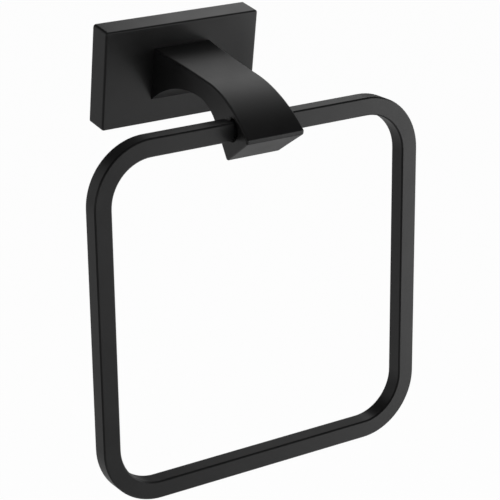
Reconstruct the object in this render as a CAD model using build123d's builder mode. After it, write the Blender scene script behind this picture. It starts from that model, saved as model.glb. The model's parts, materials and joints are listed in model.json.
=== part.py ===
from build123d import *

import os
from math import cos, radians, sin, sqrt

# Square towel ring: a hollow wall plate on a hidden bracket, an arched arm and a ring that swings in it.
# Millimetres. The origin is the middle of the wall face, +Y runs into the wall and +Z is up.

# Wall plate
plate_width = 76.4
plate_height = 45.4
plate_depth = 11.3
plate_front = 2.5
plate_wall = 2.0
plate_corner = 1.2
plate_edge = 0.9

# Arched arm
arm_width = 28.4
arm_waist = 25.2
arm_root_height = 23.7
arm_lift = 0.3
arm_flat = 40.8
arm_bend_radius = 57.6
arm_tip_angle = 37.7
arm_nose = 1.8
arm_cut_angle = 48.0
arm_edge = 0.9
arch_reach = 35.5
arch_thickness = 8.6
arch_radius = 19.5
arch_turn = 47.5
bore_wall = 3.4
bore_angle = 25.8
bore_chamfer = 1.3

# Ring of square bar
ring_width = 160.0
ring_height = 159.0
ring_corner = 27.0
ring_gap = 0.8
ring_swing = 9.0
bar_size = 8.0
bar_edge = 0.6
journal_size = 7.6
journal_spare = 0.2
bore_clearance = 0.3

# Wall bracket of bent sheet
bracket_width = 58.0
bracket_sheet = 1.8
bracket_room = 2.0
flange_depth = 4.5
sheet_bend = 2.6
wall_hole = 5.0
wall_hole_spacing = 40.0

# Hook rib and set screw that hold the plate on the bracket
hook_length = 46.0
hook_depth = 3.4
hook_clearance = 0.1
rim_setback = 0.5
set_screw_size = 4.0
set_screw_reach = 2.6
set_screw_tip = 0.8
set_screw_sunk = 0.4
set_screw_key = 2.0
set_screw_key_depth = 2.0
set_screw_boss = 8.0
boss_height = 1.7

# Screws that hold the arm on the plate
arm_screw_size = 4.0
arm_screw_length = 10.0
arm_screw_inset = 7.2
screw_head_width = 7.6
screw_head_height = 2.6
screw_head_chamfer = 0.9
recess_span = 4.0
recess_width = 0.9
recess_depth = 1.5
washer_width = 7.2
washer_thickness = 0.9
washer_split = 0.8
thread_clearance = 0.05
shank_clearance = 0.2
hole_spare = 1.0

# Worked-out places
plate_face = -plate_depth
inner_width = plate_width - 2 * plate_wall
inner_height = plate_height - 2 * plate_wall
inner_depth = plate_depth - plate_front
arm_top = arm_lift + arm_root_height / 2
arm_low = arm_lift - arm_root_height / 2
bend_start = plate_face - arm_flat
bend_centre = arm_top - arm_bend_radius
bore_radius = journal_size / 2 + bore_clearance
arm_tip = bend_start - arm_bend_radius * sin(radians(arm_tip_angle))
pivot_radius = arm_bend_radius - bore_wall - bore_radius
pivot_y = bend_start - pivot_radius * sin(radians(bore_angle))
pivot_z = bend_centre + pivot_radius * cos(radians(bore_angle))
bracket_half = inner_height / 2 - bracket_room - flange_depth
seat_lift = hook_clearance * sqrt(2)
arm_screw_spacing = arm_width - 2 * arm_screw_inset
screw_seat = Plane(origin=(0, -inner_depth, arm_lift), x_dir=(1, 0, 0), z_dir=(0, 1, 0))

os.makedirs("parts", exist_ok=True)

# Wall plate: a shallow hollow cover, with a hook rib at the top and a tapped boss at the bottom
with BuildPart() as wall_plate:
    with BuildSketch(Plane.XZ):
        RectangleRounded(plate_width, plate_height, plate_corner)
    extrude(amount=plate_depth)
    fillet(wall_plate.faces().sort_by(Axis.Y)[0].edges(), radius=plate_edge)
    with BuildSketch(Plane.XZ):
        Rectangle(inner_width, inner_height)
    extrude(amount=inner_depth, mode=Mode.SUBTRACT)
    with BuildSketch(Plane.YZ):
        with BuildLine():
            Polyline(
                (-rim_setback, inner_height / 2),
                (-rim_setback, bracket_half + rim_setback + seat_lift),
                (-hook_depth, bracket_half + hook_depth + seat_lift),
                (-hook_depth, inner_height / 2),
                close=True,
            )
        make_face()
    extrude(amount=hook_length / 2, both=True)
    with BuildSketch(Plane.XY.offset(-inner_height / 2)):
        with Locations((0, -set_screw_reach)):
            Rectangle(set_screw_boss, 2 * (set_screw_reach - rim_setback))
    extrude(amount=boss_height)
    with BuildSketch(Plane.XY.offset(-plate_height / 2)):
        with Locations((0, -set_screw_reach)):
            Circle(set_screw_size / 2 + thread_clearance)
    extrude(amount=plate_wall + boss_height, mode=Mode.SUBTRACT)
    with Locations(screw_seat):
        with GridLocations(arm_screw_spacing, 1, 2, 1):
            Hole(arm_screw_size / 2 + shank_clearance, depth=plate_front)
wall_plate.part.label = "wall_plate"
export_step(wall_plate.part, "parts/wall_plate.step")

# Arm: a straight top that turns down to a short nose, waisted in plan, with an arch cut from below
with BuildPart() as support_arm:
    with BuildSketch(Plane.YZ):
        with BuildLine():
            top = Line((plate_face, arm_top), (bend_start, arm_top))
            bend = CenterArc((bend_start, bend_centre), arm_bend_radius, 90, arm_tip_angle)
            nose = Line(bend @ 1, bend @ 1 - Vector(0, arm_nose))
            cut = PolarLine(nose @ 1, arm_root_height, 270 + arm_cut_angle)
            Polyline(cut @ 1, (plate_face, arm_low), top @ 0)
        make_face()
    extrude(amount=arm_width / 2, both=True)
    with BuildSketch():
        with BuildLine():
            waist = ThreePointArc(
                (arm_width / 2, plate_face),
                (arm_waist / 2, (plate_face + arm_tip) / 2),
                (arm_width / 2, arm_tip),
            )
            Polyline(waist @ 1, (arm_width / 2, arm_tip - arm_edge), (0, arm_tip - arm_edge))
            Polyline(waist @ 0, (0, plate_face), (0, arm_tip - arm_edge))
        make_face()
        mirror(about=Plane.YZ)
    extrude(amount=arm_root_height, both=True, mode=Mode.INTERSECT)
    root = support_arm.faces().sort_by(Axis.Y)[-1]
    sole = support_arm.faces().sort_by(Axis.Z)[0]
    fillet(support_arm.edges() - root.edges() - sole.edges(), radius=arm_edge)
    with BuildSketch(Plane.YZ):
        with BuildLine():
            crown = (plate_face - arch_reach, arm_top - arch_thickness)
            outer = JernArc(crown, (-1, 0), arch_radius, arch_turn)
            leg = PolarLine(outer @ 1, arm_root_height, direction=outer % 1)
            inner = TangentArc(crown, (plate_face, arm_low), tangent=(1, 0))
            Polyline(leg @ 1, (plate_face, (leg @ 1).Y), inner @ 1)
        make_face()
    extrude(amount=arm_width, both=True, mode=Mode.SUBTRACT)
    with BuildSketch(Plane.YZ):
        with Locations((pivot_y, pivot_z)):
            Circle(bore_radius)
    extrude(amount=arm_width, both=True, mode=Mode.SUBTRACT)
    bore_rims = support_arm.edges(Select.LAST).filter_by(GeomType.LINE, reverse=True)
    chamfer(bore_rims, length=bore_chamfer)
    with Locations(screw_seat.offset(-plate_front)):
        with GridLocations(arm_screw_spacing, 1, 2, 1):
            Hole(
                arm_screw_size / 2 + thread_clearance,
                depth=arm_screw_length - washer_thickness - plate_front + hole_spare,
            )
support_arm.part.label = "support_arm"
export_step(support_arm.part, "parts/support_arm.step")

# Ring: one square bar bent four times, its two ends turned round where they meet inside the arm's bore
ring_plane = Plane(
    origin=(0, pivot_y, pivot_z),
    x_dir=(1, 0, 0),
    z_dir=Vector(0, -1, 0).rotate(Axis.X, -ring_swing),
)
ring_side = (ring_width - bar_size) / 2
ring_bottom = bar_size - ring_height
with BuildPart() as towel_ring:
    with BuildLine(ring_plane):
        path = FilletPolyline(
            (ring_gap / 2, 0),
            (ring_side, 0),
            (ring_side, ring_bottom),
            (-ring_side, ring_bottom),
            (-ring_side, 0),
            (-ring_gap / 2, 0),
            radius=ring_corner - bar_size / 2,
        )
    with BuildSketch(Plane(origin=path @ 0, x_dir=ring_plane.z_dir, z_dir=path % 0)):
        bar = Rectangle(bar_size, bar_size)
        chamfer(bar.vertices(), length=bar_edge)
    sweep(path=path)
    with BuildSketch(Plane.YZ):
        with Locations((pivot_y, pivot_z)):
            Circle(bar_size)
            Circle(journal_size / 2, mode=Mode.SUBTRACT)
    extrude(amount=arm_width / 2 + journal_spare, both=True, mode=Mode.SUBTRACT)
towel_ring.part.label = "towel_ring"
export_step(towel_ring.part, "parts/towel_ring.step")

# Bracket: bent sheet with flared flanges, which the plate's rib hooks behind and the set screw bears on
with BuildPart() as wall_bracket:
    with BuildSketch(Plane.YZ):
        with BuildLine():
            FilletPolyline(
                (-flange_depth, bracket_half + flange_depth),
                (0, bracket_half),
                (0, -bracket_half),
                (-flange_depth, -bracket_half - flange_depth),
                radius=sheet_bend,
            )
            offset(amount=bracket_sheet, side=Side.RIGHT)
        make_face()
    extrude(amount=bracket_width / 2, both=True)
    with Locations(Plane.XZ):
        with GridLocations(wall_hole_spacing, 1, 2, 1):
            Hole(wall_hole / 2)
wall_bracket.part.label = "wall_bracket"
export_step(wall_bracket.part, "parts/wall_bracket.step")

# Set screw: a socket screw whose cone point bears on the bracket's lower flange
tip_radius = set_screw_tip / 2
set_screw_top = -(bracket_half + set_screw_reach + tip_radius + seat_lift)
set_screw_low = set_screw_sunk - plate_height / 2
cone_base = set_screw_top - (set_screw_size / 2 - tip_radius)
with BuildPart() as set_screw:
    with BuildSketch(Plane.XZ.offset(set_screw_reach)):
        with BuildLine():
            Polyline(
                (0, set_screw_low),
                (set_screw_size / 2, set_screw_low),
                (set_screw_size / 2, cone_base),
                (tip_radius, set_screw_top),
                (0, set_screw_top),
                close=True,
            )
        make_face()
    revolve(axis=Axis((0, -set_screw_reach, 0), (0, 0, 1)))
    with BuildSketch(Plane.XY.offset(set_screw_low)):
        with Locations((0, -set_screw_reach)):
            RegularPolygon(set_screw_key / 2, 6, major_radius=False)
    extrude(amount=set_screw_key_depth, mode=Mode.SUBTRACT)
set_screw.part.label = "set_screw"
export_step(set_screw.part, "parts/set_screw.step")

# Arm screws and their split washers, one pair on each side of the middle
for name, side in (("left", -1), ("right", 1)):
    washer_plane = Plane(
        origin=(side * arm_screw_spacing / 2, -inner_depth, arm_lift),
        x_dir=(1, 0, 0),
        z_dir=(0, 1, 0),
    )
    with BuildPart() as lock_washer:
        with BuildSketch(washer_plane):
            Circle(washer_width / 2)
            Circle(arm_screw_size / 2 + shank_clearance, mode=Mode.SUBTRACT)
            with Locations((washer_width / 2, 0)):
                Rectangle(washer_width, washer_split, mode=Mode.SUBTRACT)
        extrude(amount=washer_thickness)
    lock_washer.part.label = f"lock_washer_{name}"
    export_step(lock_washer.part, f"parts/lock_washer_{name}.step")

    head_plane = washer_plane.offset(washer_thickness)
    with BuildPart() as arm_screw:
        with BuildSketch(head_plane):
            Circle(screw_head_width / 2)
        extrude(amount=screw_head_height)
        chamfer(arm_screw.edges().sort_by(Axis.Y)[-1], length=screw_head_chamfer)
        with BuildSketch(head_plane.offset(screw_head_height)):
            Rectangle(recess_span, recess_width)
            Rectangle(recess_width, recess_span)
        extrude(amount=-recess_depth, mode=Mode.SUBTRACT)
        with BuildSketch(head_plane):
            Circle(arm_screw_size / 2)
        extrude(amount=-arm_screw_length)
    arm_screw.part.label = f"arm_screw_{name}"
    export_step(arm_screw.part, f"parts/arm_screw_{name}.step")
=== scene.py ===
import json
import math

import bpy
from mathutils import Matrix, Vector


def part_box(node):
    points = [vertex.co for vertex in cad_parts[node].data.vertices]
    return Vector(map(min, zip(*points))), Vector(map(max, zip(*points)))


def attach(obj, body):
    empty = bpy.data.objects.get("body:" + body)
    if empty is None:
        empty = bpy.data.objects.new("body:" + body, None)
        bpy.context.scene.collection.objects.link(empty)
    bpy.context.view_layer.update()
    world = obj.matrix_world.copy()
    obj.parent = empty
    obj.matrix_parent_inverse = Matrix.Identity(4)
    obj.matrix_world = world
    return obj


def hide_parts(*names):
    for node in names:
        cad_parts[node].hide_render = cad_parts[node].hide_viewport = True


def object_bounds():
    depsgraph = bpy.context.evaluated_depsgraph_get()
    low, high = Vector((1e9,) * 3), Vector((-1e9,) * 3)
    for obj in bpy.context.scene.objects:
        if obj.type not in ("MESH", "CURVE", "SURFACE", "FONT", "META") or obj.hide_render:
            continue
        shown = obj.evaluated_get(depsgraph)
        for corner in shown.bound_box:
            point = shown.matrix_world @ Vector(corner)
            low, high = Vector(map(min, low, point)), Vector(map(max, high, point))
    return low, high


# Square towel ring in satin black: a wall plate, an arched arm and a bent bar ring that swings in the arm.
# Metres, in the CAD frame: the origin is the middle of the wall face, +Y runs into the wall and +Z is up.

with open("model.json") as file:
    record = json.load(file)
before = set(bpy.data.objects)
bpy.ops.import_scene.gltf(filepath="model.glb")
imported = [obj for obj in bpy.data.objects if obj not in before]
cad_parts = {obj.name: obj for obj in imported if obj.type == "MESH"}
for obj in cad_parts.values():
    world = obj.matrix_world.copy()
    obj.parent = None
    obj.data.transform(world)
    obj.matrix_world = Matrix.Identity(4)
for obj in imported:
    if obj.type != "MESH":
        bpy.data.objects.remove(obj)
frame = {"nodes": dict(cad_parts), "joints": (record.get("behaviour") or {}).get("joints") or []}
cad_low, cad_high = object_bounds()
cad = frame["nodes"]
MM = 0.001

# Places read from the frame
pivot = Vector(frame["joints"][0]["pos_m"])
plate_low, plate_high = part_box("wall_plate")
arm_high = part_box("support_arm")[1]
ring_low, ring_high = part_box("towel_ring")

# Sizes of what can't be read from the frame
plate_wall = 2.0 * MM
plate_front = 2.5 * MM
bore_radius = 4.1 * MM

# Screw threads, heads, drives and points
thread_crest = 2.0 * MM
thread_depth = 0.43 * MM
thread_core = thread_crest - thread_depth
thread_pitch = 0.7 * MM
root_flat = thread_pitch / 4
crest_flat = thread_pitch / 8
flank = (thread_pitch - root_flat - crest_flat) / 2
thread_steps = 32
spare_turns = 2
lead_length = 0.6 * MM
lead_scale = 0.84
head_round = 1.4 * MM
head_sides = 64
shank_overlap = 0.2 * MM
recess_span = 4.0 * MM
recess_width = 0.9 * MM
recess_depth = 1.5 * MM
recess_taper = 0.62
recess_spare = 0.1 * MM
key_width = 2.0 * MM
key_depth = 2.0 * MM
key_tip_height = 0.3 * MM
key_tip_scale = 0.3
cone_height = 1.6 * MM
cone_overlap = 0.2 * MM
cone_sides = 48
point_radius = 0.4 * MM
point_round = 0.12 * MM

# Mesh limits: least cosine between a face and the way it faces, distances that count as none, smooth angle
straight = 0.9
weld = 1e-6
cut_tolerance = 1e-7
smooth_angle = math.radians(32)

# Camera, fitted to the photograph's edges
camera_place = Vector((-0.4171, -0.6744, 0.3170))
camera_azimuth = math.radians(-34.855)
camera_elevation = math.radians(27.207)
camera_roll = math.radians(4.770)
camera_lens = 138.45
sensor = 36.0


# Mesh tools

def start_piece():
    """Leaves nothing selected, in object mode."""
    if bpy.context.mode != "OBJECT":
        bpy.ops.object.mode_set(mode="OBJECT")
    bpy.ops.object.select_all(action="DESELECT")


def take(piece):
    """Leaves one piece selected and active."""
    start_piece()
    piece.select_set(True)
    bpy.context.view_layer.objects.active = piece


def name_piece(name):
    piece = bpy.context.object
    piece.name = name
    piece.data.name = name
    return piece


def pick_vertices(piece, wanted):
    """In edit mode, selects the vertices for which wanted(place) is true."""
    bpy.ops.mesh.select_all(action="DESELECT")
    bpy.ops.object.mode_set(mode="OBJECT")
    for vertex in piece.data.vertices:
        vertex.select = wanted(vertex.co)
    bpy.ops.object.mode_set(mode="EDIT")


def pick_faces(piece, wanted):
    """In edit mode, selects the faces for which wanted(normal, centre) is true."""
    bpy.ops.mesh.select_all(action="DESELECT")
    bpy.ops.object.mode_set(mode="OBJECT")
    for face in piece.data.polygons:
        face.select = wanted(face.normal, face.center)
    bpy.ops.object.mode_set(mode="EDIT")


def pick_edges(piece, wanted):
    """In edit mode, selects the edges whose two ends both satisfy wanted(place)."""
    bpy.ops.mesh.select_all(action="DESELECT")
    bpy.ops.object.mode_set(mode="OBJECT")
    for edge in piece.data.edges:
        edge.select = all(wanted(piece.data.vertices[i].co) for i in edge.vertices)
    bpy.ops.object.mode_set(mode="EDIT")


def apply_place(piece):
    """Puts the piece's place, turn and scale into its mesh."""
    take(piece)
    bpy.ops.object.transform_apply(location=True, rotation=True, scale=True)


def cut_away(piece, tool):
    """Subtracts a tool from a piece and removes the tool."""
    take(piece)
    cut = piece.modifiers.new("cut", "BOOLEAN")
    cut.operation = "DIFFERENCE"
    cut.solver = "EXACT"
    cut.object = tool
    bpy.ops.object.modifier_apply(modifier=cut.name)
    bpy.data.objects.remove(tool)


def join_pieces(name, pieces):
    start_piece()
    for piece in pieces:
        piece.select_set(True)
    bpy.context.view_layer.objects.active = pieces[0]
    bpy.ops.object.join()
    return name_piece(name)


def finish_piece(piece, material, node):
    """Shades a piece, gives it its finish and lets it stand for its CAD node on the holder."""
    take(piece)
    bpy.ops.object.shade_smooth_by_angle(angle=smooth_angle)
    piece.data.materials.clear()
    piece.data.materials.append(material)
    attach(piece, "holder")
    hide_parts(node)


# Screws

def thread(name, low, high):
    """A threaded rod round the Z axis: one tooth, turned up a helix and cut flat at both ends."""
    start_piece()
    first = low - spare_turns * thread_pitch
    turns = math.ceil((high - first) / thread_pitch) + spare_turns
    bpy.ops.mesh.primitive_plane_add(size=thread_pitch, location=(0, 0, 0))
    rod = name_piece(name)
    bpy.ops.object.mode_set(mode="EDIT")
    bpy.ops.mesh.merge(type="CENTER")
    bpy.ops.transform.translate(value=(thread_core, 0, first))
    for out, along in (
        (0, root_flat),
        (thread_depth, flank),
        (0, crest_flat),
        (-thread_depth, flank),
    ):
        bpy.ops.mesh.extrude_region_move(TRANSFORM_OT_translate={"value": (out, 0, along)})
    bpy.ops.object.mode_set(mode="OBJECT")
    helix = rod.modifiers.new("helix", "SCREW")
    helix.axis = "Z"
    helix.angle = math.tau
    helix.screw_offset = thread_pitch
    helix.iterations = turns
    helix.steps = thread_steps
    helix.render_steps = thread_steps
    helix.use_merge_vertices = True
    helix.merge_threshold = weld
    bpy.ops.object.modifier_apply(modifier=helix.name)
    bpy.ops.object.mode_set(mode="EDIT")
    for height, facing in ((low, -1), (high, 1)):
        bpy.ops.mesh.select_all(action="SELECT")
        bpy.ops.mesh.bisect(
            plane_co=(0, 0, height),
            plane_no=(0, 0, facing),
            use_fill=True,
            clear_outer=True,
            threshold=cut_tolerance,
        )
    bpy.ops.mesh.select_all(action="SELECT")
    bpy.ops.mesh.remove_doubles(threshold=weld)
    bpy.ops.mesh.normals_make_consistent(inside=False)
    bpy.ops.object.mode_set(mode="OBJECT")
    return rod


def lead_in(rod, end, facing):
    """Draws in the last turn of a thread, so that it starts easily."""
    take(rod)
    bpy.ops.object.mode_set(mode="EDIT")
    pick_vertices(rod, lambda place: (end - place.z) * facing < lead_length)
    bpy.ops.transform.resize(value=(lead_scale, lead_scale, 1), center_override=(0, 0, end))
    bpy.ops.object.mode_set(mode="OBJECT")


def cross_tool(top):
    """The tapered cross of a screwdriver, pointing down from a head's top."""
    start_piece()
    bpy.ops.mesh.primitive_cube_add(size=1, location=(0, 0, top - recess_depth / 2))
    tool = name_piece("cross_tool")
    tool.scale = (recess_width, recess_width, recess_depth + recess_spare)
    apply_place(tool)
    bpy.ops.object.mode_set(mode="EDIT")
    arm = (recess_span - recess_width) / 2
    for way in (Vector((1, 0, 0)), Vector((-1, 0, 0)), Vector((0, 1, 0)), Vector((0, -1, 0))):
        pick_faces(
            tool,
            lambda normal, centre: normal.dot(way) > straight
            and abs(centre.cross(way).z) < recess_width / 2,
        )
        bpy.ops.mesh.extrude_region_move(TRANSFORM_OT_translate={"value": way * arm})
    pick_vertices(tool, lambda place: place.z < top - recess_depth / 2)
    bpy.ops.transform.resize(value=(recess_taper, recess_taper, 1), center_override=(0, 0, top))
    bpy.ops.mesh.select_all(action="SELECT")
    bpy.ops.mesh.normals_make_consistent(inside=False)
    bpy.ops.object.mode_set(mode="OBJECT")
    return tool


def pan_head(width, height):
    """A pan head on z = 0 with a rounded rim and a cross recess."""
    start_piece()
    bpy.ops.mesh.primitive_cylinder_add(
        vertices=head_sides, radius=width / 2, depth=height, location=(0, 0, height / 2)
    )
    head = name_piece("pan_head")
    apply_place(head)
    bpy.ops.object.mode_set(mode="EDIT")
    rim = 0.1 * height
    pick_edges(head, lambda place: place.z > height - rim)
    bpy.ops.mesh.bevel(offset=head_round, segments=8, profile=0.5, affect="EDGES")
    pick_edges(head, lambda place: place.z < rim)
    bpy.ops.mesh.bevel(offset=rim, segments=2, affect="EDGES")
    bpy.ops.object.mode_set(mode="OBJECT")
    cut_away(head, cross_tool(height))
    return head


def arm_screws(material):
    """Two pan-head screws that hold the arm on the plate, with their heads towards the wall."""
    low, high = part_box("arm_screw_left")
    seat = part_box("lock_washer_left")[1].y
    left = Vector(((low.x + high.x) / 2, seat, (low.z + high.z) / 2))
    right = Vector((-left.x, left.y, left.z))
    shank = thread("shank", low.y - seat, shank_overlap)
    lead_in(shank, low.y - seat, -1)
    head = pan_head(high.x - low.x, high.y - seat)
    first = join_pieces("threaded_arm_screw_left", [head, shank])
    take(first)
    bpy.ops.object.duplicate(linked=False)
    second = name_piece("threaded_arm_screw_right")
    for screw, place in ((first, left), (second, right)):
        screw.matrix_world = Matrix.Translation(place) @ Matrix.Rotation(-math.pi / 2, 4, "X")
        apply_place(screw)
    finish_piece(first, material, "arm_screw_left")
    finish_piece(second, material, "arm_screw_right")


def socket_set_screw(material):
    """The set screw in the plate's lower edge: a thread, a hexagon socket below and a cone point above."""
    low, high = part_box("set_screw")
    length = high.z - low.z
    shoulder = length - cone_height
    rod = thread("set_screw_rod", 0, shoulder)
    lead_in(rod, 0, -1)
    start_piece()
    bpy.ops.mesh.primitive_cylinder_add(
        vertices=6, radius=key_width / math.sqrt(3), depth=2 * key_depth, location=(0, 0, 0)
    )
    key = name_piece("key_tool")
    bpy.ops.object.mode_set(mode="EDIT")
    pick_faces(key, lambda normal, centre: normal.z > straight)
    bpy.ops.mesh.extrude_region_move(TRANSFORM_OT_translate={"value": (0, 0, key_tip_height)})
    bpy.ops.transform.resize(value=(key_tip_scale, key_tip_scale, 1))
    bpy.ops.object.mode_set(mode="OBJECT")
    cut_away(rod, key)
    start_piece()
    bpy.ops.mesh.primitive_cylinder_add(
        vertices=cone_sides, radius=thread_core, depth=2 * cone_overlap, location=(0, 0, shoulder)
    )
    cone = name_piece("cone_point")
    apply_place(cone)
    bpy.ops.object.mode_set(mode="EDIT")
    pick_faces(cone, lambda normal, centre: normal.z > straight)
    rise = cone_height - cone_overlap
    narrow = point_radius / thread_core
    bpy.ops.mesh.extrude_region_move(TRANSFORM_OT_translate={"value": (0, 0, rise)})
    bpy.ops.transform.resize(value=(narrow, narrow, 1))
    bpy.ops.mesh.bevel(offset=point_round, segments=3, affect="EDGES")
    bpy.ops.object.mode_set(mode="OBJECT")
    screw = join_pieces("socket_set_screw", [rod, cone])
    screw.location = ((low.x + high.x) / 2, (low.y + high.y) / 2, low.z)
    apply_place(screw)
    finish_piece(screw, material, "set_screw")


# Material tools

# Numbers of a Mix node's colour sockets
mix_first = 6
mix_second = 7
mix_result = 2


def add_node(tree, kind, inputs=None, **settings):
    """Adds a node with its settings, and gives each named socket a value or a link from another socket."""
    made = tree.nodes.new(kind)
    for key, value in settings.items():
        setattr(made, key, value)
    for key, value in (inputs or {}).items():
        if isinstance(value, bpy.types.NodeSocket):
            tree.links.new(value, made.inputs[key])
        else:
            made.inputs[key].default_value = value
    return made


def new_material(name):
    """An empty material, with its Principled shader and its Object coordinates."""
    material = bpy.data.materials.new(name)
    material.use_nodes = True
    tree = material.node_tree
    tree.nodes.clear()
    shader = add_node(tree, "ShaderNodeBsdfPrincipled")
    add_node(tree, "ShaderNodeOutputMaterial", {"Surface": shader.outputs["BSDF"]})
    place = add_node(tree, "ShaderNodeTexCoord").outputs["Object"]
    return material, tree, shader, place


def new_group(name, inputs, outputs):
    """A shader node group with named sockets. Returns its tree, its inputs and its output node."""
    tree = bpy.data.node_groups.new(name, "ShaderNodeTree")
    for key, kind, value in inputs:
        socket = tree.interface.new_socket(key, in_out="INPUT", socket_type=kind)
        if value is not None:
            socket.default_value = value
    for key, kind in outputs:
        tree.interface.new_socket(key, in_out="OUTPUT", socket_type=kind)
    given = tree.nodes.new("NodeGroupInput").outputs
    result = tree.nodes.new("NodeGroupOutput")
    return tree, given, result


def add_group(tree, group, inputs):
    return add_node(tree, "ShaderNodeGroup", inputs, node_tree=group).outputs


def maths(tree, operation, first, second=0.0):
    return add_node(tree, "ShaderNodeMath", {0: first, 1: second}, operation=operation).outputs[0]


def spread(tree, value, low, high, to_low, to_high):
    """A value moved from one range to another, held at its ends."""
    made = add_node(
        tree,
        "ShaderNodeMapRange",
        {"Value": value, "From Min": low, "From Max": high, "To Min": to_low, "To Max": to_high},
    )
    return made.outputs["Result"]


def blend_colours(tree, factor, first, second):
    mix = add_node(tree, "ShaderNodeMix", {"Factor": factor}, data_type="RGBA")
    for index, colour in ((mix_first, first), (mix_second, second)):
        if isinstance(colour, bpy.types.NodeSocket):
            tree.links.new(colour, mix.inputs[index])
        else:
            mix.inputs[index].default_value = (*colour, 1)
    return mix.outputs[mix_result]


def mix_shaders(tree, factor, first, second):
    return add_node(tree, "ShaderNodeMixShader", {0: factor, 1: first, 2: second}).outputs[0]


# Effects that more than one finish uses

def paint_skin_group():
    """The skin of sprayed powder paint: soft orange peel with a fine grain on it, and slow cloudiness."""
    tree, given, result = new_group(
        "paint_skin",
        [
            ("Place", "NodeSocketVector", None),
            ("Peel Scale", "NodeSocketFloat", 900.0),
            ("Grain Scale", "NodeSocketFloat", 5200.0),
            ("Grain Share", "NodeSocketFloat", 0.35),
        ],
        [("Height", "NodeSocketFloat"), ("Cloud", "NodeSocketFloat")],
    )
    peel = add_node(
        tree,
        "ShaderNodeTexNoise",
        {"Vector": given["Place"], "Scale": given["Peel Scale"], "Detail": 2.0, "Roughness": 0.45},
    ).outputs["Fac"]
    grain = add_node(
        tree,
        "ShaderNodeTexNoise",
        {"Vector": given["Place"], "Scale": given["Grain Scale"], "Detail": 3.0, "Roughness": 0.6},
    ).outputs["Fac"]
    cloud = add_node(
        tree,
        "ShaderNodeTexNoise",
        {"Vector": given["Place"], "Scale": 65.0, "Detail": 4.0, "Roughness": 0.55},
    ).outputs["Fac"]
    height = maths(tree, "ADD", peel, maths(tree, "MULTIPLY", grain, given["Grain Share"]))
    tree.links.new(height, result.inputs["Height"])
    tree.links.new(spread(tree, cloud, 0.3, 0.7, 0.0, 1.0), result.inputs["Cloud"])
    return tree


def handling_group():
    """Faint marks of hands and packing: soft smudges, and hair-fine rubs in one direction."""
    tree, given, result = new_group(
        "handling",
        [
            ("Place", "NodeSocketVector", None),
            ("Smudge Scale", "NodeSocketFloat", 38.0),
            ("Rub Stretch", "NodeSocketVector", (60.0, 1800.0, 1800.0)),
        ],
        [("Smudge", "NodeSocketFloat"), ("Rub", "NodeSocketFloat")],
    )
    patch = add_node(
        tree,
        "ShaderNodeTexNoise",
        {"Vector": given["Place"], "Scale": given["Smudge Scale"], "Detail": 5.0, "Distortion": 0.6},
    ).outputs["Fac"]
    drawn = add_node(
        tree,
        "ShaderNodeVectorMath",
        {0: given["Place"], 1: given["Rub Stretch"]},
        operation="MULTIPLY",
    ).outputs["Vector"]
    lines = add_node(
        tree, "ShaderNodeTexNoise", {"Vector": drawn, "Scale": 1.0, "Detail": 3.0, "Roughness": 0.7}
    ).outputs["Fac"]
    tree.links.new(spread(tree, patch, 0.52, 0.72, 0.0, 1.0), result.inputs["Smudge"])
    tree.links.new(spread(tree, lines, 0.25, 0.75, 0.0, 1.0), result.inputs["Rub"])
    return tree


def zone_group():
    """A zone with a broken edge, from how deep a point lies inside it."""
    tree, given, result = new_group(
        "zone",
        [
            ("Place", "NodeSocketVector", None),
            ("Depth", "NodeSocketFloat", 0.0),
            ("Feather", "NodeSocketFloat", 0.001),
        ],
        [("Mask", "NodeSocketFloat")],
    )
    ragged = add_node(
        tree, "ShaderNodeTexNoise", {"Vector": given["Place"], "Scale": 700.0, "Detail": 4.0}
    ).outputs["Fac"]
    share = maths(tree, "DIVIDE", given["Depth"], given["Feather"])
    pushed = maths(tree, "ADD", share, maths(tree, "SUBTRACT", ragged, 0.5))
    tree.links.new(spread(tree, pushed, 0.0, 1.0, 0.0, 1.0), result.inputs["Mask"])
    return tree


paint_skin = paint_skin_group()
handling = handling_group()
zone = zone_group()


# Finishes

coat_dark = (0.0036, 0.0036, 0.0038)
coat_light = (0.0056, 0.0056, 0.0059)
coat_thin = (0.0085, 0.0085, 0.0087)
coat_rubbed = (0.0042, 0.0042, 0.0043)
coat_held = (0.0046, 0.0046, 0.0047)
coat_relief = 0.012 * MM
coat_smoothest = 0.35
coat_roughest = 0.40
smudge_polish = 0.03
rub_scuff = 0.015
zinc_blue = (0.56, 0.575, 0.595)
zinc_straw = (0.60, 0.59, 0.555)
zinc_dull = (0.47, 0.475, 0.48)
zinc_smoothest = 0.26
zinc_roughest = 0.40
zinc_smudge = 0.08
zinc_grain = 0.3
oxide_dark = (0.022, 0.022, 0.025)
oxide_brown = (0.036, 0.035, 0.035)
oxide_worn = (0.06, 0.057, 0.053)
oxide_relief = 0.008 * MM
oxide_plain = 0.46
oxide_oiled = 0.34

# How far the zones reach past the hollow's and the bore's faces, and stay inside the arm's sides
hollow_reach = 0.1 * MM
bore_reach = 0.3 * MM
held_margin = 1.5 * MM


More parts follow.
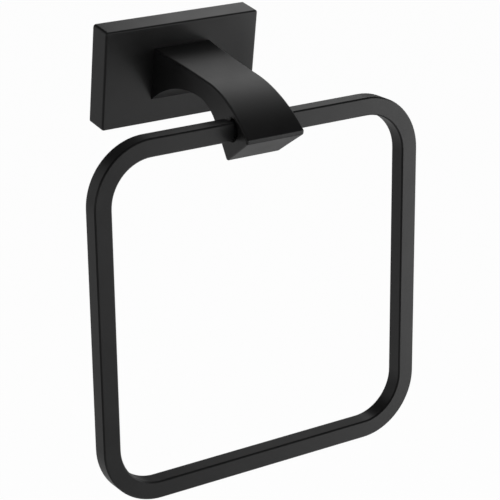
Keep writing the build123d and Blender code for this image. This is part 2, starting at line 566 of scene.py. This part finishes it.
def black_coat(name, depth_of_zone, feather, zone_roughness, zone_colour):
    """Satin black powder paint, with a zone that looks different, such as a thinly sprayed inside."""
    material, tree, shader, place = new_material(name)
    skin = add_group(tree, paint_skin, {"Place": place})
    marks = add_group(tree, handling, {"Place": place})
    inside = add_group(
        tree, zone, {"Place": place, "Depth": depth_of_zone(tree, place), "Feather": feather}
    )["Mask"]
    colour = blend_colours(tree, skin["Cloud"], coat_dark, coat_light)
    colour = blend_colours(tree, inside, colour, zone_colour)
    satin = spread(tree, skin["Cloud"], 0.0, 1.0, coat_smoothest, coat_roughest)
    satin = maths(tree, "SUBTRACT", satin, maths(tree, "MULTIPLY", marks["Smudge"], smudge_polish))
    satin = maths(tree, "ADD", satin, maths(tree, "MULTIPLY", marks["Rub"], rub_scuff))
    to_zone = maths(tree, "MULTIPLY", inside, maths(tree, "SUBTRACT", zone_roughness, satin))
    tree.links.new(colour, shader.inputs["Base Color"])
    tree.links.new(maths(tree, "ADD", satin, to_zone), shader.inputs["Roughness"])
    bump = add_node(
        tree, "ShaderNodeBump", {"Strength": 0.5, "Distance": coat_relief, "Height": skin["Height"]}
    )
    tree.links.new(bump.outputs["Normal"], shader.inputs["Normal"])
    shader.inputs["IOR"].default_value = 1.5
    return material


def hollow_depth(tree, place):
    """How deep a point lies inside the plate's hollow back."""
    split = add_node(tree, "ShaderNodeSeparateXYZ", {"Vector": place}).outputs
    half_width = plate_high.x - plate_wall + hollow_reach
    half_height = plate_high.z - plate_wall + hollow_reach
    bottom = plate_low.y + plate_front - hollow_reach
    across = maths(tree, "SUBTRACT", half_width, maths(tree, "ABSOLUTE", split["X"]))
    up = maths(tree, "SUBTRACT", half_height, maths(tree, "ABSOLUTE", split["Z"]))
    back = maths(tree, "SUBTRACT", split["Y"], bottom)
    return maths(tree, "MINIMUM", maths(tree, "MINIMUM", across, up), back)


def bore_depth(tree, place):
    """How deep a point lies inside the arm's bore."""
    from_axis = add_node(
        tree, "ShaderNodeVectorMath", {0: place, 1: tuple(pivot)}, operation="SUBTRACT"
    ).outputs["Vector"]
    round_axis = add_node(
        tree, "ShaderNodeVectorMath", {0: from_axis, 1: (0, 1, 1)}, operation="MULTIPLY"
    ).outputs["Vector"]
    radius = add_node(tree, "ShaderNodeVectorMath", {0: round_axis}, operation="LENGTH").outputs["Value"]
    return maths(tree, "SUBTRACT", bore_radius + bore_reach, radius)


def held_depth(tree, place):
    """How deep a point of the ring lies inside the arm."""
    split = add_node(tree, "ShaderNodeSeparateXYZ", {"Vector": place}).outputs
    sideways = maths(tree, "SUBTRACT", arm_high.x - held_margin, maths(tree, "ABSOLUTE", split["X"]))
    height = maths(tree, "SUBTRACT", split["Z"], (ring_low.z + ring_high.z) / 2)
    return maths(tree, "MINIMUM", sideways, height)


def zinc_finish(name, stretch, line_height):
    """Zinc plating on steel, with the lines of rolling or turning and a faint blue and straw cast."""
    material, tree, shader, place = new_material(name)
    skin = add_group(tree, paint_skin, {"Place": place, "Peel Scale": 1500.0})
    marks = add_group(tree, handling, {"Place": place, "Rub Stretch": stretch})
    colour = blend_colours(tree, skin["Cloud"], zinc_blue, zinc_straw)
    colour = blend_colours(tree, marks["Smudge"], colour, zinc_dull)
    satin = spread(tree, marks["Rub"], 0.0, 1.0, zinc_smoothest, zinc_roughest)
    satin = maths(tree, "ADD", satin, maths(tree, "MULTIPLY", marks["Smudge"], zinc_smudge))
    height = maths(tree, "ADD", marks["Rub"], maths(tree, "MULTIPLY", skin["Height"], zinc_grain))
    bump = add_node(
        tree, "ShaderNodeBump", {"Strength": 0.4, "Distance": line_height, "Height": height}
    )
    tree.links.new(colour, shader.inputs["Base Color"])
    tree.links.new(satin, shader.inputs["Roughness"])
    tree.links.new(bump.outputs["Normal"], shader.inputs["Normal"])
    shader.inputs["Metallic"].default_value = 1.0
    return material


def black_oxide(name):
    """Oiled black steel of a socket screw."""
    material, tree, shader, place = new_material(name)
    skin = add_group(tree, paint_skin, {"Place": place, "Peel Scale": 2600.0, "Grain Scale": 9000.0})
    marks = add_group(tree, handling, {"Place": place, "Smudge Scale": 420.0})
    colour = blend_colours(tree, skin["Cloud"], oxide_dark, oxide_brown)
    colour = blend_colours(tree, marks["Smudge"], colour, oxide_worn)
    satin = spread(tree, marks["Smudge"], 0.0, 1.0, oxide_plain, oxide_oiled)
    bump = add_node(
        tree, "ShaderNodeBump", {"Strength": 0.4, "Distance": oxide_relief, "Height": skin["Height"]}
    )
    tree.links.new(colour, shader.inputs["Base Color"])
    tree.links.new(satin, shader.inputs["Roughness"])
    tree.links.new(bump.outputs["Normal"], shader.inputs["Normal"])
    shader.inputs["Metallic"].default_value = 0.7
    return material


plate_coat = black_coat(
    "plate_coat", hollow_depth, feather=1.0 * MM, zone_roughness=0.56, zone_colour=coat_thin
)
arm_coat = black_coat(
    "arm_coat", bore_depth, feather=0.8 * MM, zone_roughness=0.32, zone_colour=coat_rubbed
)
ring_coat = black_coat(
    "ring_coat", held_depth, feather=2.5 * MM, zone_roughness=0.33, zone_colour=coat_held
)
zinc_sheet = zinc_finish("zinc_sheet", stretch=(45.0, 2600.0, 2600.0), line_height=0.006 * MM)
zinc_turned = zinc_finish("zinc_turned", stretch=(2200.0, 5200.0, 2200.0), line_height=0.004 * MM)
oxide = black_oxide("screw_oxide")

for node, material in (
    ("wall_plate", plate_coat),
    ("support_arm", arm_coat),
    ("towel_ring", ring_coat),
    ("wall_bracket", zinc_sheet),
    ("lock_washer_left", zinc_turned),
    ("lock_washer_right", zinc_turned),
):
    cad[node].data.materials.clear()
    cad[node].data.materials.append(material)

arm_screws(zinc_turned)
socket_set_screw(oxide)


# Stage

white = (1, 1, 1, 1)
floor_drop = 0.36
floor_size = 8.0
floor_pale = (0.80, 0.80, 0.80)
floor_paler = (0.82, 0.82, 0.82)
# Painted shade: the grey that the floor turns to behind the camera, which darkens what the black coat
# reflects
floor_painted_shade = (0.30, 0.30, 0.30)
floor_white_share = 0.97

# Values of X + Y on the floor at which its painted shade starts to turn it from pale to grey, and is full
# grey
pale_until = -0.4
grey_from = -2.0

# Levels of the world: white cards and the dark between them in reflections, the fill light, the backdrop
card_white = 1.0
studio_dark = 0.04
plain_level = 0.40
backdrop = 0.985

# Cosines of the angles from a card's middle at which the card fades out and is full
card_fades = 0.84
card_full = 0.95

lamp_aim = Vector((0, -0.06, -0.04))


def floor_finish():
    """A pale studio floor with painted shade, grey behind the camera, which the object shows in its
    reflections; seen as white with the shadow left in it.
    """
    material, tree, shader, place = new_material("studio_floor")
    rays = add_node(tree, "ShaderNodeLightPath").outputs
    seen = maths(tree, "MAXIMUM", rays["Is Camera Ray"], rays["Is Transmission Ray"])
    cloud = add_node(tree, "ShaderNodeTexNoise", {"Vector": place, "Scale": 3.0}).outputs["Fac"]
    split = add_node(tree, "ShaderNodeSeparateXYZ", {"Vector": place}).outputs
    ahead = maths(tree, "ADD", split["X"], split["Y"])
    # Painted shade: the floor turns from pale to grey as X + Y falls, so that its reflections in the coat
    # darken
    painted_shade_share = spread(tree, ahead, pale_until, grey_from, 0.0, 1.0)
    pale = blend_colours(tree, cloud, floor_pale, floor_paler)
    tree.links.new(blend_colours(tree, painted_shade_share, pale, floor_painted_shade), shader.inputs["Base Color"])
    shader.inputs["Roughness"].default_value = 0.9
    share = maths(tree, "MULTIPLY", seen, floor_white_share)
    glow = add_node(tree, "ShaderNodeEmission", {"Color": white, "Strength": 1.0}).outputs[0]
    mixed = mix_shaders(tree, share, shader.outputs["BSDF"], glow)
    output = next(n for n in tree.nodes if n.type == "OUTPUT_MATERIAL")
    tree.links.new(mixed, output.inputs["Surface"])
    return material


def lay_floor():
    start_piece()
    bpy.ops.mesh.primitive_grid_add(
        x_subdivisions=8, y_subdivisions=8, size=floor_size, location=(0, 0, cad_low.z - floor_drop)
    )
    floor = name_piece("studio_floor")
    apply_place(floor)
    floor.data.materials.append(floor_finish())


def background(tree, strength):
    return add_node(tree, "ShaderNodeBackground", {"Color": white, "Strength": strength}).outputs[0]


def light_world():
    """White to the camera, plain fill light, and in reflections a dark studio with white cards."""
    world = bpy.data.worlds.new("studio")
    bpy.context.scene.world = world
    world.use_nodes = True
    tree = world.node_tree
    tree.nodes.clear()
    rays = add_node(tree, "ShaderNodeLightPath").outputs
    way = add_node(tree, "ShaderNodeTexCoord").outputs["Generated"]
    split = add_node(tree, "ShaderNodeSeparateXYZ", {"Vector": way}).outputs
    sides = maths(tree, "ABSOLUTE", split["X"])
    front = maths(tree, "MULTIPLY", split["Y"], -1.0)
    cards = maths(tree, "MAXIMUM", sides, front)
    reflected = background(tree, spread(tree, cards, card_fades, card_full, studio_dark, card_white))
    plain = background(tree, plain_level)
    lit = mix_shaders(tree, rays["Is Glossy Ray"], plain, reflected)
    seen = maths(tree, "MAXIMUM", rays["Is Camera Ray"], rays["Is Transmission Ray"])
    shown = background(tree, backdrop)
    add_node(tree, "ShaderNodeOutputWorld", {"Surface": mix_shaders(tree, seen, lit, shown)})


def hang_lamp(name, azimuth, elevation, distance, size, radiance):
    """A square soft box that faces the object. Its angles, from +X and above level, are in degrees."""
    turn = math.radians(azimuth)
    rise = math.radians(elevation)
    lamp = bpy.data.lights.new(name, "AREA")
    lamp.shape = "SQUARE"
    lamp.size = size
    lamp.energy = radiance * math.pi * size * size
    box = bpy.data.objects.new(name, lamp)
    bpy.context.scene.collection.objects.link(box)
    ahead = Vector((math.cos(rise) * math.cos(turn), math.cos(rise) * math.sin(turn), math.sin(rise)))
    box.location = lamp_aim + ahead * distance
    box.rotation_mode = "QUATERNION"
    box.rotation_quaternion = ahead.to_track_quat("Z", "Y")


def set_camera():
    lens = bpy.data.cameras.new("camera")
    lens.sensor_fit = "HORIZONTAL"
    lens.sensor_width = sensor
    lens.lens = camera_lens
    lens.clip_start = 0.01
    lens.clip_end = 50.0
    camera = bpy.data.objects.new("camera", lens)
    bpy.context.scene.collection.objects.link(camera)
    flat = math.cos(camera_elevation)
    back = Vector((
        math.sin(camera_azimuth) * flat,
        -math.cos(camera_azimuth) * flat,
        math.sin(camera_elevation),
    ))
    level = Vector((math.cos(camera_azimuth), math.sin(camera_azimuth), 0))
    above = back.cross(level)
    side = level * math.cos(camera_roll) + above * math.sin(camera_roll)
    up = back.cross(side)
    turn = Matrix((side, up, back)).transposed()
    camera.matrix_world = Matrix.Translation(camera_place) @ turn.to_4x4()
    bpy.context.scene.camera = camera


lay_floor()
light_world()
for name, azimuth, elevation, distance, size, radiance in (
    ("back_box", 50, 28, 0.60, 0.32, 0.92),
    ("top_box", 35, 40, 0.75, 0.40, 0.58),
    ("left_box", 130, 10, 0.90, 0.50, 0.40),
    ("high_box", 85, 72, 0.90, 0.50, 0.60),
    ("side_box", -36, -3.5, 0.95, 0.70, 2.05),
):
    hang_lamp(name, azimuth, elevation, distance, size, radiance)
set_camera()
bpy.context.scene.view_settings.view_transform = "Standard"
